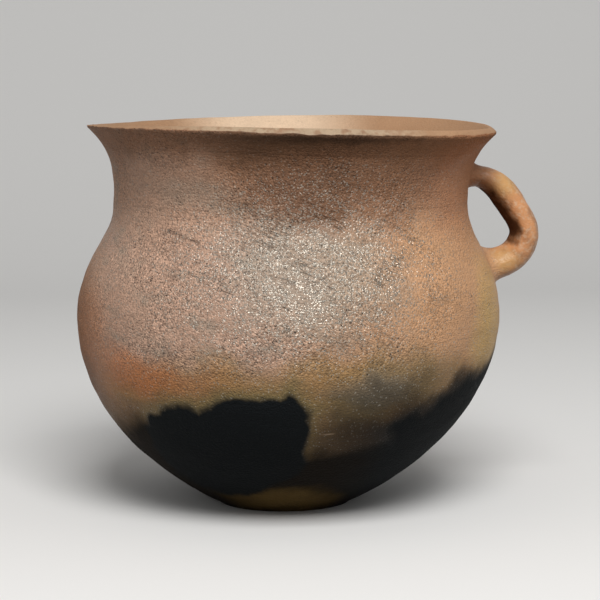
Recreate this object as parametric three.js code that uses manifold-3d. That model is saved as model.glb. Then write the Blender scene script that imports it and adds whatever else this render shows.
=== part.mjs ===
// A one-handled cooking olla of micaceous clay, hand-built from coils.
// Millimetres, +Z up. The origin is the middle of the flat the olla rests on, and the handle is on +X.
// The wall is a pressed base pat with eight coils on it, each lapped inside the one below.
// The handle is a rolled rope, pegged into the wall at both ends and luted on with a collar of clay.
import * as THREE from "three";
import { mergeVertices } from "three/addons/utils/BufferGeometryUtils.js";
import Module from "manifold-3d";

const wasm = await Module();
wasm.setup();

// Outside of the wall, as radius and height
const FOOT_RADIUS = 27;
const BELLY_RADIUS = 84;
const BELLY_HEIGHT = 74;
const NECK_RADIUS = 70;
const NECK_HEIGHT = 120;
const LIP_RADIUS = 81;
const LIP_HEIGHT = 148.6;

// How the outline leaves each of those stations: slope in degrees, and how far it keeps that way
const FOOT_SLOPE = 24;
const FOOT_REACH = 23.5;
const BELLY_REACH_DOWN = 37;
const BELLY_REACH_UP = 24;
const NECK_REACH_DOWN = 16;
const NECK_REACH_UP = 20;
const LIP_FLARE = 38;
const LIP_REACH = 6;

// Thickness of the wall, and the rounding of the lip's inner edge
const FOOT_THICKNESS = 7.5;
const LIP_THICKNESS = 3.8;
const LIP_ROUND = 1.8;

// The hand's own unevenness: the axis leans towards the handle, and the rim waves up and down
const LEAN = 3.4 / 150;
const RIM_WAVES = [
  // waves in one turn, height of the crest, and the crest's angle from the handle in degrees
  [1, 0.7, 125],
  [2, 0.95, 60],
];

// Pieces of the wall from the foot up, with the outside height at which each ends
const WALL_PIECES = [
  ["base_pat", 16],
  ["lower_wall_coil_1", 33],
  ["lower_wall_coil_2", 52],
  ["belly_coil", 70],
  ["upper_belly_coil", 86.5],
  ["shoulder_coil", 104],
  ["neck_base_coil", NECK_HEIGHT],
  ["neck_coil", 140.5],
  ["rim_coil", LIP_HEIGHT],
];
const LAP = 6; // how much lower a joint lies on the inside of the wall
const SLIP_JOINT = 0.2; // film of slip between two coils, along the wall
const SECTION_STEPS = 4;
const TURN_STEPS = 48;

// The handle's rope, neck to shoulder: distance from the axis, height, thickness in the loop's plane
const ROPE_LINE = [
  [69, 129.4, 9.4],
  [77.5, 129.2, 9],
  [83.5, 126.6, 10.6],
  [88.7, 121.6, 11.8],
  [92.9, 115.8, 11.6],
  [96.5, 108.8, 11.6],
  [96.3, 102.8, 12.4],
  [92.5, 97.2, 12.7],
  [85.9, 94, 12.9],
  [76, 93, 13],
];
const ROPE_WIDTH = 13;
const ROPE_SIDES = 12;
const ROPE_STEPS = 24;

// Pegs on the rope's ends, and the clay luted round each joint
const PEG_RADIUS = 3.7;
const PEG_TIP_RADIUS = 3;
const PEG_DEPTH = 3; // into the wall
const PEG_ROOT = 5; // inside the rope
const LUTE_SPREAD = 3; // over the wall, past the rope
const LUTE_CLIMB = 4; // along the rope, from the wall
const LUTE_FEATHER = 0.55; // thickness at both edges
const LUTE_SUNK = 2; // below the wall's face, before the wall is cut away from it
const FIT_GAP = 0.3;
const HALVING_LIMIT = 1e-7;

const CLAY = { color: 0x9a6f55, roughness: 0.62, metalness: 0.08 };
const HANDLE_CLAY = { color: 0xa97b5c, roughness: 0.66, metalness: 0.06 };

// Outline of the wall

function outerOutline() {
  const footSlope = THREE.MathUtils.degToRad(FOOT_SLOPE);
  const lipFlare = THREE.MathUtils.degToRad(LIP_FLARE);
  const path = new THREE.Path();
  path.moveTo(0, 0);
  path.lineTo(FOOT_RADIUS, 0);
  path.bezierCurveTo(
    FOOT_RADIUS + FOOT_REACH * Math.cos(footSlope),
    FOOT_REACH * Math.sin(footSlope),
    BELLY_RADIUS,
    BELLY_HEIGHT - BELLY_REACH_DOWN,
    BELLY_RADIUS,
    BELLY_HEIGHT,
  );
  path.bezierCurveTo(
    BELLY_RADIUS,
    BELLY_HEIGHT + BELLY_REACH_UP,
    NECK_RADIUS,
    NECK_HEIGHT - NECK_REACH_DOWN,
    NECK_RADIUS,
    NECK_HEIGHT,
  );
  path.bezierCurveTo(
    NECK_RADIUS,
    NECK_HEIGHT + NECK_REACH_UP,
    LIP_RADIUS - LIP_REACH * Math.sin(lipFlare),
    LIP_HEIGHT - LIP_REACH * Math.cos(lipFlare),
    LIP_RADIUS,
    LIP_HEIGHT,
  );
  return path;
}

const OUTLINE = outerOutline();
const OUTLINE_LENGTH = OUTLINE.getLength();

// Point of the outline at a share of its length, moved off it by some depth (positive goes into the clay).
function wallPoint(share, depth = 0) {
  const along = OUTLINE.getTangent(share);
  const intoClay = new THREE.Vector2(-along.y, along.x);
  return OUTLINE.getPoint(share).addScaledVector(intoClay, depth);
}

function thicknessAt(share) {
  return THREE.MathUtils.lerp(FOOT_THICKNESS, LIP_THICKNESS, share);
}

function innerPoint(share) {
  return wallPoint(share, thicknessAt(share));
}

// Share of the outline's length at which it reaches a height: it only climbs, so halving finds it.
function shareAtHeight(height) {
  let low = FOOT_RADIUS / OUTLINE_LENGTH;
  let high = 1;
  while (high - low > HALVING_LIMIT) {
    const middle = (low + high) / 2;
    if (OUTLINE.getPoint(middle).y < height) low = middle;
    else high = middle;
  }
  return high;
}

function spread(from, to, steps) {
  return Array.from({ length: steps + 1 }, (_, i) => THREE.MathUtils.lerp(from, to, i / steps));
}

// Solids

// Turns a section of radius and height about the Z axis, as the hand leaves it.
function turned(section) {
  const geometry = new THREE.LatheGeometry(section, TURN_STEPS);
  geometry.rotateX(Math.PI / 2);
  return handBuilt(geometry);
}

// Rise or dip of the rim at an angle about the axis: high at the back, low at the front right.
function rimWave(angle) {
  return RIM_WAVES.reduce((rise, [turns, height, crest]) => {
    return rise + height * Math.cos(turns * (angle - THREE.MathUtils.degToRad(crest)));
  }, 0);
}

function handBuilt(geometry) {
  const place = geometry.getAttribute("position");
  for (let i = 0; i < place.count; i++) {
    const [x, y, z] = [place.getX(i), place.getY(i), place.getZ(i)];
    const rise = THREE.MathUtils.smoothstep(z, NECK_HEIGHT, LIP_HEIGHT);
    place.setXYZ(i, x + LEAN * z, y, z + rise * rimWave(Math.atan2(y, x)));
  }
  return geometry;
}

function solidOf(geometry) {
  const bare = geometry.clone();
  bare.deleteAttribute("normal");
  bare.deleteAttribute("uv");
  const merged = mergeVertices(bare);
  return new wasm.Manifold(
    new wasm.Mesh({
      numProp: 3,
      vertProperties: merged.getAttribute("position").array,
      triVerts: new Uint32Array(merged.index.array),
    }),
  );
}

function geometryOf(solid) {
  const mesh = solid.getMesh();
  const geometry = new THREE.BufferGeometry();
  geometry.setAttribute("position", new THREE.BufferAttribute(mesh.vertProperties, mesh.numProp));
  geometry.setIndex(new THREE.BufferAttribute(mesh.triVerts, 1));
  geometry.computeVertexNormals();
  return geometry;
}

// Wall pieces

// Section of one coil: up the outside, across the lap, down the inside and back.
function coilSection(from, to) {
  const film = SLIP_JOINT / 2 / OUTLINE_LENGTH;
  const lap = LAP / OUTLINE_LENGTH;
  const outside = spread(from + film, to - film, SECTION_STEPS).map((s) => wallPoint(s));
  const inside = spread(to - lap - film, from - lap + film, SECTION_STEPS).map(innerPoint);
  return [...outside, ...inside, outside[0].clone()];
}

// The base pat is closed at the axis: over the flat and up the outside, then down the inside to the middle.
function baseSection(to) {
  const film = SLIP_JOINT / 2 / OUTLINE_LENGTH;
  const lap = LAP / OUTLINE_LENGTH;
  const footEdge = FOOT_RADIUS / OUTLINE_LENGTH;
  const outside = spread(footEdge, to - film, SECTION_STEPS).map((s) => wallPoint(s));
  const inside = spread(to - lap - film, footEdge / 2, SECTION_STEPS).map(innerPoint);
  return [new THREE.Vector2(0, 0), ...outside, ...inside, new THREE.Vector2(0, FOOT_THICKNESS)];
}

// The rim coil ends in the lip: cut square to the wall, with its inner edge rounded over.
function rimSection(from) {
  const film = SLIP_JOINT / 2 / OUTLINE_LENGTH;
  const lap = LAP / OUTLINE_LENGTH;
  const outerEdge = wallPoint(1);
  const innerEdge = innerPoint(1);
  const roundStart = outerEdge.clone().lerp(innerEdge, 1 - LIP_ROUND / LIP_THICKNESS);
  const roundEnd = innerPoint(1 - LIP_ROUND / OUTLINE_LENGTH);
  const round = new THREE.QuadraticBezierCurve(roundStart, innerEdge, roundEnd).getPoints(3);
  const outside = spread(from + film, 1, SECTION_STEPS).map((s) => wallPoint(s));
  const insideTop = 1 - 2 * (LIP_ROUND / OUTLINE_LENGTH);
  const inside = spread(insideTop, from - lap + film, SECTION_STEPS).map(innerPoint);
  return [...outside, ...round, ...inside, outside[0].clone()];
}

function wallGeometries() {
  const geometries = new Map();
  let from = 0;
  WALL_PIECES.forEach(([name, top], i) => {
    const to = shareAtHeight(top);
    const last = i === WALL_PIECES.length - 1;
    const section = i === 0 ? baseSection(to) : last ? rimSection(from) : coilSection(from, to);
    geometries.set(name, turned(section));
    from = to;
  });
  return geometries;
}

// The olla filled in solid and grown by a gap, which cuts what is fitted against its outside.
function filledOlla(gap) {
  const steps = SECTION_STEPS * WALL_PIECES.length;
  const outside = spread(FOOT_RADIUS / OUTLINE_LENGTH, 1, steps).map((s) => wallPoint(s, -gap));
  const top = outside[outside.length - 1].y;
  return solidOf(turned([new THREE.Vector2(0, 0), ...outside, new THREE.Vector2(0, top)]));
}

// Handle

const ROPE_CURVE = new THREE.CatmullRomCurve3(ROPE_LINE.map(([x, z]) => new THREE.Vector3(x, 0, z)));
const ROPE_SWELL = new THREE.SplineCurve(ROPE_LINE.map(([, , thick], i) => new THREE.Vector2(i, thick)));

// A closed cylinder bent along the rope's line, oval across it.
function ropeSolid(grow) {
  const rope = new THREE.CylinderGeometry(1, 1, 1, ROPE_SIDES, ROPE_STEPS);
  const place = rope.getAttribute("position");
  for (let i = 0; i < place.count; i++) {
    const share = THREE.MathUtils.clamp(0.5 - place.getY(i), 0, 1);
    const along = ROPE_CURVE.getTangent(share);
    const across = new THREE.Vector3(along.z, 0, -along.x);
    const halfThick = ROPE_SWELL.getPoint(share).y / 2 + grow;
    const point = ROPE_CURVE.getPoint(share).addScaledVector(across, place.getX(i) * halfThick);
    place.setXYZ(i, point.x, place.getZ(i) * (ROPE_WIDTH / 2 + grow), point.z);
  }
  return solidOf(rope);
}

// How far out along X the wall's face lies, on the handle's side.
function wallFace(y, z) {
  const radius = OUTLINE.getPoint(shareAtHeight(z)).x;
  return Math.sqrt(radius * radius - y * y) + LEAN * z;
}

// Where the rope's end meets the wall's face, found by halving, with the way into the wall.
function ropeJoint(end) {
  let inside = end;
  let outside = 0.5;
  while (Math.abs(outside - inside) > HALVING_LIMIT) {
    const middle = (inside + outside) / 2;
    const point = ROPE_CURVE.getPoint(middle);
    if (point.x < wallFace(0, point.z)) inside = middle;
    else outside = middle;
  }
  const intoWall = ROPE_CURVE.getTangent(inside).multiplyScalar(Math.sign(end - outside));
  return { face: ROPE_CURVE.getPoint(inside), intoWall, thick: ROPE_SWELL.getPoint(inside).y };
}

// Stands a turned shape on a joint: its own +Y points into the wall, from the wall's face.
function onJoint(geometry, { face, intoWall }) {
  const turn = new THREE.Quaternion().setFromUnitVectors(new THREE.Vector3(0, 1, 0), intoWall);
  return geometry.applyQuaternion(turn).translate(face.x, face.y, face.z);
}

// Tapered peg from inside the rope's end to its tip in the wall.
function pegSolid(joint, grow) {
  const length = PEG_ROOT + PEG_DEPTH + grow;
  const peg = new THREE.CylinderGeometry(PEG_TIP_RADIUS + grow, PEG_RADIUS + grow, length, ROPE_SIDES);
  peg.translate(0, PEG_DEPTH + grow - length / 2, 0);
  return solidOf(onJoint(peg, joint));
}

// Collar of soft clay: wide on the wall, feathered out along the rope with a hollow curve between.
function luteSolid(joint) {
  const rope = ROPE_WIDTH / 2;
  const foot = new THREE.Vector2(rope + LUTE_SPREAD, -LUTE_FEATHER);
  const bend = new THREE.Vector2(rope + LUTE_FEATHER, -LUTE_FEATHER);
  const head = new THREE.Vector2(rope + LUTE_FEATHER, -LUTE_CLIMB);
  const hollow = new THREE.QuadraticBezierCurve(head, bend, foot).getPoints(SECTION_STEPS);
  const section = [
    new THREE.Vector2(0, -LUTE_CLIMB),
    ...hollow,
    new THREE.Vector2(rope + LUTE_SPREAD, LUTE_SUNK),
    new THREE.Vector2(0, LUTE_SUNK),
  ];
  const collar = new THREE.LatheGeometry(section, 2 * ROPE_SIDES).scale(1, 1, joint.thick / ROPE_WIDTH);
  return solidOf(laidOnWall(onJoint(collar, joint), joint.face));
}

// Moves a collar's points along X, so that it follows the round of the wall instead of a flat face.
function laidOnWall(geometry, face) {
  const place = geometry.getAttribute("position");
  for (let i = 0; i < place.count; i++) {
    const onFace = wallFace(place.getY(i), place.getZ(i));
    place.setX(i, place.getX(i) + onFace - face.x);
  }
  return geometry;
}

// Assembly

function clayMesh(name, geometry, material) {
  const mesh = new THREE.Mesh(geometry, new THREE.MeshStandardMaterial(material));
  mesh.name = name;
  return mesh;
}

const olla = new THREE.Group();
olla.name = "clay_olla";

const walls = wallGeometries();
const upperJoint = ropeJoint(0);
const lowerJoint = ropeJoint(1);
const sockets = { neck_coil: upperJoint, shoulder_coil: lowerJoint };
for (const [name, geometry] of walls) {
  const joint = sockets[name];
  const shape = joint ? geometryOf(solidOf(geometry).subtract(pegSolid(joint, FIT_GAP))) : geometry;
  olla.add(clayMesh(name, shape, CLAY));
}

const outsideOfWall = filledOlla(FIT_GAP);
const rope = ropeSolid(0).subtract(outsideOfWall);
const handle = rope.add(pegSolid(upperJoint, 0)).add(pegSolid(lowerJoint, 0));
olla.add(clayMesh("handle_rope", geometryOf(handle), HANDLE_CLAY));

const ropeRoom = ropeSolid(FIT_GAP);
const lutes = { upper_handle_lute: upperJoint, lower_handle_lute: lowerJoint };
for (const [name, joint] of Object.entries(lutes)) {
  const lute = luteSolid(joint).subtract(outsideOfWall).subtract(ropeRoom);
  olla.add(clayMesh(name, geometryOf(lute), HANDLE_CLAY));
}

export default olla;
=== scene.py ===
"""A hand-coiled cooking olla of micaceous clay with one loop handle, on a plain stage.

Metres, +Z up. The origin is the middle of the flat that the olla rests on, and the handle is on +X.
The wall is a pressed base pat with eight coils on it. The handle is a rolled rope, luted on at both ends.
"""
import math

import bpy
import numpy as np
from mathutils import Matrix, Vector
from mathutils.geometry import interpolate_bezier


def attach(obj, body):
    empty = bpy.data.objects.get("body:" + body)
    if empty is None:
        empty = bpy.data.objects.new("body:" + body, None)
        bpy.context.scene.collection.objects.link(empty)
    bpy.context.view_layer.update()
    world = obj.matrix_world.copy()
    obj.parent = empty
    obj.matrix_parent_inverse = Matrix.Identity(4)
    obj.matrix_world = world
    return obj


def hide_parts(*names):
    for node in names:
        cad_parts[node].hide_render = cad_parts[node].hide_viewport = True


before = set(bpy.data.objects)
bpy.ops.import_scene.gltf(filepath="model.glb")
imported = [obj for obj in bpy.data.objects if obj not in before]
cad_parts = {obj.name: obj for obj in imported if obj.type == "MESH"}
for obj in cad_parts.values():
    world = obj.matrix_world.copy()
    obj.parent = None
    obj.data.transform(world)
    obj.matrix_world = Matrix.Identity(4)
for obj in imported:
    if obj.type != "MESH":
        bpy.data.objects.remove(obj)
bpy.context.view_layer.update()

bl_info = {
    "name": "Micaceous clay olla",
    "version": (1, 0, 0),
    "blender": (4, 5, 0),
    "location": "View3D > Sidebar > Olla",
    "description": "Builds a hand-coiled cooking olla with one loop handle, its finishes and a stage",
    "category": "Add Mesh",
}

# Wall: how its outline leaves each station, and the height at which the outside of each piece ends
FOOT_SLOPE = math.radians(24)
FOOT_REACH = 0.0235
BELLY_REACH_DOWN = 0.037
BELLY_REACH_UP = 0.024
NECK_REACH_DOWN = 0.016
NECK_REACH_UP = 0.020
LIP_FLARE = math.radians(38)
LIP_REACH = 0.006
COILS = (
    ("base_pat", 0.016),
    ("lower_wall_coil_1", 0.033),
    ("lower_wall_coil_2", 0.052),
    ("belly_coil", 0.070),
    ("upper_belly_coil", 0.0865),
    ("shoulder_coil", 0.104),
    ("neck_base_coil", 0.120),
    ("neck_coil", 0.1405),
)

# Waves of the rim that the hand left: waves per turn, crest height and the crest's angle
RIM_WAVES = (
    (1, 0.0007, math.radians(125)),
    (2, 0.00095, math.radians(60)),
)
# Pinches of the lip: their angle, how much lower they press its cut edge, how far they lift it
LIP_PINCHES = (
    (math.radians(180), 0.9, 0.0015),
    (math.radians(270), -0.25, 0.0004),
)
# Marks of the hand in the clay: name, size, depth and how much flatter than wide they are
HAND_MARKS = (
    ("swell of the coils", 0.050, 0.0013, 3.0),
    ("scraped hollows", 0.012, 0.0004, 1.6),
)
RAGGED_LIP = ("ragged lip", 0.0034, 0.0011, 1.0)
FINGER_MARKS = ("finger marks", 0.0075, 0.0005, 1.0)
RAGGED_REACH = 0.0022
LIP_EDGE = "lip edge"
OFF_WALL = "off_wall"

# Handle: distance from the axis, height and thickness along the rope, from the neck to the shoulder
ROPE_LINE = (
    (0.0690, 0.1294, 0.0094),
    (0.0775, 0.1292, 0.0090),
    (0.0835, 0.1266, 0.0106),
    (0.0887, 0.1216, 0.0118),
    (0.0929, 0.1158, 0.0116),
    (0.0965, 0.1088, 0.0116),
    (0.0963, 0.1028, 0.0124),
    (0.0925, 0.0972, 0.0127),
    (0.0859, 0.0940, 0.0129),
    (0.0760, 0.0930, 0.0130),
)
# Section of the rope: outward in the loop and sideways along Y, as shares of half its size
ROPE_SECTION = (
    (1.00, 0.00),
    (0.66, 0.78),
    (-0.20, 1.00),
    (-0.85, 0.66),
    (-1.00, 0.15),
    (-0.62, -0.60),
    (-0.02, -1.00),
    (0.68, -0.76),
)
ROPE_DEPTH = 0.0026
LUTE_SINK = 0.001

# Fineness of the meshes
FACE = 0.001
LAP_STEPS = 5
STRETCH_STEPS = 200
TURN_STEPS = 480
SPAN_STEPS = 12
SIDE_STEPS = 6
ROPE_RINGS = 90
FILLET_STEPS = 10
MERGE = 1e-6
SMOOTH_ANGLE = math.radians(28)

# Picture: its width and focal length in pixels, and where the camera stands
PICTURE = 600
FOCAL_PIXELS = 2003
SENSOR = 36.0
CAMERA_AIM = Vector((0.0064, -0.00041, 0.08004))
CAMERA_DISTANCE = 0.8
CAMERA_AZIMUTH = math.radians(-5)
CAMERA_ELEVATION = math.radians(6.9)
CLIP_START = 0.01

# Stage: floor, rounded backdrop, where the floor turns dull along its own Y, and the lamp's place
FLOOR_SIZE = 6
FLOOR_SHIFT = -1.5
BACKDROP_HEIGHT = 2
BACKDROP_ROUND = 0.8
BACKDROP_STEPS = 24
FLOOR_ROUGHNESS = 0.9
DULL_FLOOR_Y = (0.7, 1.3)
LAMP_AZIMUTH = math.radians(4)
LAMP_LEVEL = 0.66
LAMP_RISE = 0.75
LAMP_DISTANCE = 1.6
LAMP_SIZE = 0.8


# Properties

def length(name, default, description):
    return bpy.props.FloatProperty(
        name=name, description=description, default=default, min=0.0, precision=4,
        subtype="DISTANCE", unit="LENGTH",
    )


def colour(name, default, description):
    return bpy.props.FloatVectorProperty(
        name=name, description=description, default=default, min=0.0, max=1.0, size=3, subtype="COLOR",
    )


class OllaWall(bpy.types.PropertyGroup):
    foot_radius: length("Foot radius", 0.027, "Flat that the olla rests on")
    belly_radius: length("Belly radius", 0.084, "Widest part of the outside")
    belly_height: length("Belly height", 0.074, "Height of the widest part")
    neck_radius: length("Neck radius", 0.070, "Narrowest part of the outside")
    neck_height: length("Neck height", 0.120, "Height of the narrowest part")
    lip_radius: length("Lip radius", 0.081, "Outer edge of the lip")
    lip_height: length("Lip height", 0.1482, "Height of the lip's outer edge")
    foot_thickness: length("Foot thickness", 0.0075, "Thickness of the clay at the foot")
    lip_thickness: length("Lip thickness", 0.0040, "Thickness of the clay at the lip")
    lip_round: length("Lip rounding", 0.0014, "Rounding of the lip's inner edge")
    lip_wear: length("Lip wear", 0.0013, "Rounding of the lip's outer edge")
    lap: length("Lap", 0.006, "How much lower a joint of two coils lies on the inside")
    hand_room: length("Hand room", 0.00025, "Depth kept free for the hand's unevenness")
    lean: bpy.props.FloatProperty(
        name="Lean", description="Shift towards the handle for each metre of height", default=3.4 / 150,
    )


class OllaHandle(bpy.types.PropertyGroup):
    rope_width: length("Rope width", 0.0130, "Width of the rope across the loop")
    lute_spread: length("Lute spread", 0.0034, "How far the luting clay spreads over the wall")
    lute_climb: length("Lute climb", 0.0046, "How far the luting clay climbs along the rope")


class OllaClay(bpy.types.PropertyGroup):
    clay: colour("Clay", (0.50, 0.310, 0.215), "Wiped slip on the left of the belly")
    ochre: colour("Ochre", (0.56, 0.305, 0.155), "Warmer slip on the right of the belly")
    ash: colour("Ash", (0.27, 0.235, 0.180), "Greyer blotches in the slip")
    golden: colour("Golden", (0.33, 0.180, 0.050), "Scorched slip round the fire clouds")
    red: colour("Red", (0.62, 0.20, 0.058), "Red flush low on the left")
    olive: colour("Olive", (0.60, 0.37, 0.135), "Greenish flush on the right edge")
    umber: colour("Umber", (0.45, 0.245, 0.145), "Browner slip on the neck")
    # Smoked slip; also painted shade on the rope's underside and along the left edge of the belly
    smoke_and_shade: colour("Smoke", (0.27, 0.133, 0.070), "Smoked slip under the lip")
    soot: colour("Soot", (0.0076, 0.0089, 0.0096), "Blue-black of the fire clouds")
    halo: colour("Halo", (0.19, 0.145, 0.058), "Yellowish rim of the fire clouds")
    scorch: colour("Scorch", (0.011, 0.008, 0.0055), "Dark brown low on the wall")
    foot: colour("Foot", (0.17, 0.105, 0.034), "Golden crescent by the foot")
    inside: colour("Inside", (0.74, 0.54, 0.37), "Bare clay of the lip and the inside")
    lip: colour("Lip", (0.44, 0.32, 0.21), "Cut edge of the lip")
    # Redder and darker clay inside at the left and right: partly the clay's colour, partly painted shade
    # where the inner sides face away from the lamp
    inside_side: colour("Inside of the sides", (0.40, 0.230, 0.127), "Redder clay inside, left and right")
    mica: colour("Mica", (0.47, 0.44, 0.38), "Flakes of mica in the slip")
    handle: colour("Handle", (0.70, 0.325, 0.140), "Hand-smoothed slip on the handle")
    # Painted shade: the handle's inner face, dark where it faces into the loop and away from the lamp
    handle_shade: colour("Handle shade", (0.085, 0.034, 0.014), "Smoked inner face of the handle")


class OllaStage(bpy.types.PropertyGroup):
    floor: colour("Floor", (0.84, 0.83, 0.81), "Plain pale floor and backdrop")
    lamp_floor: colour("Floor under the lamp", (0.54, 0.535, 0.52), "Duller floor where the lamp is close")
    bounce: colour("Bounce", (0.22, 0.22, 0.22), "What the floor throws back at the olla")
    key_power: bpy.props.FloatProperty(
        name="Key", description="Power of the large lamp", default=23.0, unit="POWER",
    )
    fill: bpy.props.FloatProperty(name="Fill", description="Strength of the light all round", default=0.36)


# Outline of the wall

class Outline:
    """Outside of the wall from the middle of the foot to the lip, measured along its length."""

    def __init__(self, wall):
        self.wall = wall
        upright = Vector((0, 1))
        foot = Vector((wall.foot_radius, 0))
        belly = Vector((wall.belly_radius, wall.belly_height))
        neck = Vector((wall.neck_radius, wall.neck_height))
        lip = Vector((wall.lip_radius, wall.lip_height))
        foot_way = Vector((math.cos(FOOT_SLOPE), math.sin(FOOT_SLOPE)))
        lip_way = Vector((math.sin(LIP_FLARE), math.cos(LIP_FLARE)))
        stretches = (
            (foot, foot + FOOT_REACH * foot_way, belly - BELLY_REACH_DOWN * upright, belly),
            (belly, belly + BELLY_REACH_UP * upright, neck - NECK_REACH_DOWN * upright, neck),
            (neck, neck + NECK_REACH_UP * upright, lip - LIP_REACH * lip_way, lip),
        )
        points = [Vector((0, 0)), foot]
        for stretch in stretches:
            points += interpolate_bezier(*stretch, STRETCH_STEPS)[1:]
        self.points = np.array(points)
        steps = np.linalg.norm(np.diff(self.points, axis=0), axis=1)
        self.along = np.concatenate(([0], np.cumsum(steps)))
        self.length = self.along[-1]

    def distance_at(self, height):
        return np.interp(height, self.points[1:, 1], self.along[1:])

    def radius_at(self, height):
        return np.interp(height, self.points[1:, 1], self.points[1:, 0])

    def place(self, distance):
        return np.stack([np.interp(distance, self.along, self.points[:, i]) for i in (0, 1)], -1)

    def face(self, distance, depth=None):
        """Points at some distances along the outline, moved into the clay by a depth."""
        distance = np.asarray(distance, float)
        depth = self.wall.hand_room if depth is None else depth
        reach = FACE / 10
        way = self.place(np.minimum(distance + reach, self.length)) - self.place(distance - reach)
        way /= np.linalg.norm(way, axis=-1, keepdims=True)
        into_clay = np.stack([-way[..., 1], way[..., 0]], -1)
        return self.place(distance) + into_clay * np.asarray(depth)[..., None]

    def inner(self, distance):
        share = np.asarray(distance) / self.length
        thickness = self.wall.foot_thickness + share * (self.wall.lip_thickness - self.wall.foot_thickness)
        return self.face(distance, thickness)

    def wall_face(self, y, z):
        """How far out along X the outside of the wall lies, on the handle's side."""
        radius = self.radius_at(z) - self.wall.hand_room
        return np.sqrt(radius * radius - y * y) + self.wall.lean * z


def evenly(start, end):
    return np.linspace(start, end, max(2, round(abs(end - start) / FACE)))


def across(start, end):
    """Points between two places, without the places themselves."""
    shares = np.linspace(0, 1, LAP_STEPS + 2)[1:-1, None]
    return start + shares * (end - start)


def rounded(start, corner, end):
    """A round from one place to another that leaves both towards a corner."""
    handles = start + (corner - start) * 2 / 3, end + (corner - end) * 2 / 3
    points = [Vector(p) for p in (start, *handles, end)]
    return np.array(interpolate_bezier(*points, FILLET_STEPS))


def coil_section(outline, low, high):
    lap = outline.wall.lap
    outside = outline.face(evenly(low, high))
    inside = outline.inner(evenly(high - lap, low - lap))
    return np.vstack([outside, across(outside[-1], inside[0]), inside, across(inside[-1], outside[0])])


def base_section(outline, high):
    wall = outline.wall
    flat = outline.face(np.linspace(0, wall.foot_radius, LAP_STEPS), 0)
    outside = outline.face(evenly(wall.foot_radius + FACE, high))
    inside = outline.inner(evenly(high - wall.lap, wall.foot_radius + wall.foot_thickness))
    way = inside[-1] - inside[-2]
    corner = inside[-1] + way * (wall.foot_thickness - inside[-1][1]) / way[1]
    middle = np.array((0, wall.foot_thickness))
    well = rounded(inside[-1], corner, (corner + middle) / 2)
    up = np.vstack([flat, outside, across(outside[-1], inside[0])])
    return np.vstack([up, inside, well[1:], across(well[-1], middle), middle])


def rim_section(outline, low):
    wall = outline.wall
    top = outline.length
    outer_edge = outline.face(top)
    inner_edge = outline.inner(top)
    cut = (inner_edge - outer_edge) / np.linalg.norm(inner_edge - outer_edge)
    outside = outline.face(evenly(low, top - wall.lip_wear - FACE / 2))
    worn = rounded(outline.face(top - wall.lip_wear), outer_edge, outer_edge + wall.lip_wear * cut)
    over = rounded(inner_edge - wall.lip_round * cut, inner_edge, outline.inner(top - wall.lip_round))
    inside = outline.inner(evenly(top - wall.lip_round - FACE / 2, low - wall.lap))
    return np.vstack([outside, worn, across(worn[-1], over[0]), over, inside, across(inside[-1], outside[0])])


# Meshes

def select_only(piece):
    bpy.ops.object.select_all(action="DESELECT")
    piece.select_set(True)
    bpy.context.view_layer.objects.active = piece


def select_edges(piece, chosen):
    """Selects only the edges whose two points are in chosen places."""
    for vertex in piece.data.vertices:
        vertex.select = chosen(vertex.co)
    for edge in piece.data.edges:
        edge.select = all(piece.data.vertices[i].select for i in edge.vertices)
    for face in piece.data.polygons:
        face.select = False


def points_of(piece):
    places = np.empty(len(piece.data.vertices) * 3)
    piece.data.vertices.foreach_get("co", places)
    return places.reshape(-1, 3)


def move_points(piece, places):
    piece.data.vertices.foreach_set("co", np.asarray(places, float).ravel())
    piece.data.update()


def new_piece(name):
    piece = bpy.context.object
    piece.name = name
    piece.data.name = name
    return piece


def face_outward():
    bpy.ops.object.mode_set(mode="EDIT")
    bpy.ops.mesh.select_all(action="SELECT")
    bpy.ops.mesh.normals_make_consistent(inside=False)
    bpy.ops.object.mode_set(mode="OBJECT")


def turned(name, section):
    """Turns a section of radius and height about the Z axis."""
    bpy.ops.object.select_all(action="DESELECT")
    bpy.ops.mesh.primitive_circle_add(vertices=len(section), location=(0, 0, 0))
    piece = new_piece(name)
    move_points(piece, [(radius, 0, height) for radius, height in section])
    turn = piece.modifiers.new("turn", "SCREW")
    turn.steps = turn.render_steps = TURN_STEPS
    turn.use_merge_vertices = True
    turn.merge_threshold = MERGE
    bpy.ops.object.modifier_apply(modifier=turn.name)
    bpy.ops.object.mode_set(mode="EDIT")
    bpy.ops.mesh.select_all(action="SELECT")
    bpy.ops.mesh.remove_doubles(threshold=MERGE)
    bpy.ops.mesh.delete_loose()
    bpy.ops.object.mode_set(mode="OBJECT")
    face_outward()
    return piece


def lean_and_wave(piece, wall):
    """Leans the turned shape towards the handle, lets its rim rise and dip, and pinches its lip."""
    x, y, z = points_of(piece).T
    share = np.clip((z - wall.neck_height) / (wall.lip_height - wall.neck_height), 0, 1)
    rise = share * share * (3 - 2 * share)
    angle = np.arctan2(y, x)
    wave = sum(height * np.cos(turns * (angle - crest)) for turns, height, crest in RIM_WAVES)
    above = np.maximum(z - wall.lip_height, 0)
    for toward, squeeze, lift in LIP_PINCHES:
        near = np.maximum(np.cos(angle - toward), 0)
        wave = wave + near * lift
        z = z - near * squeeze * above
    move_points(piece, np.stack([x + wall.lean * z, y, z + rise * wave], -1))


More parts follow.
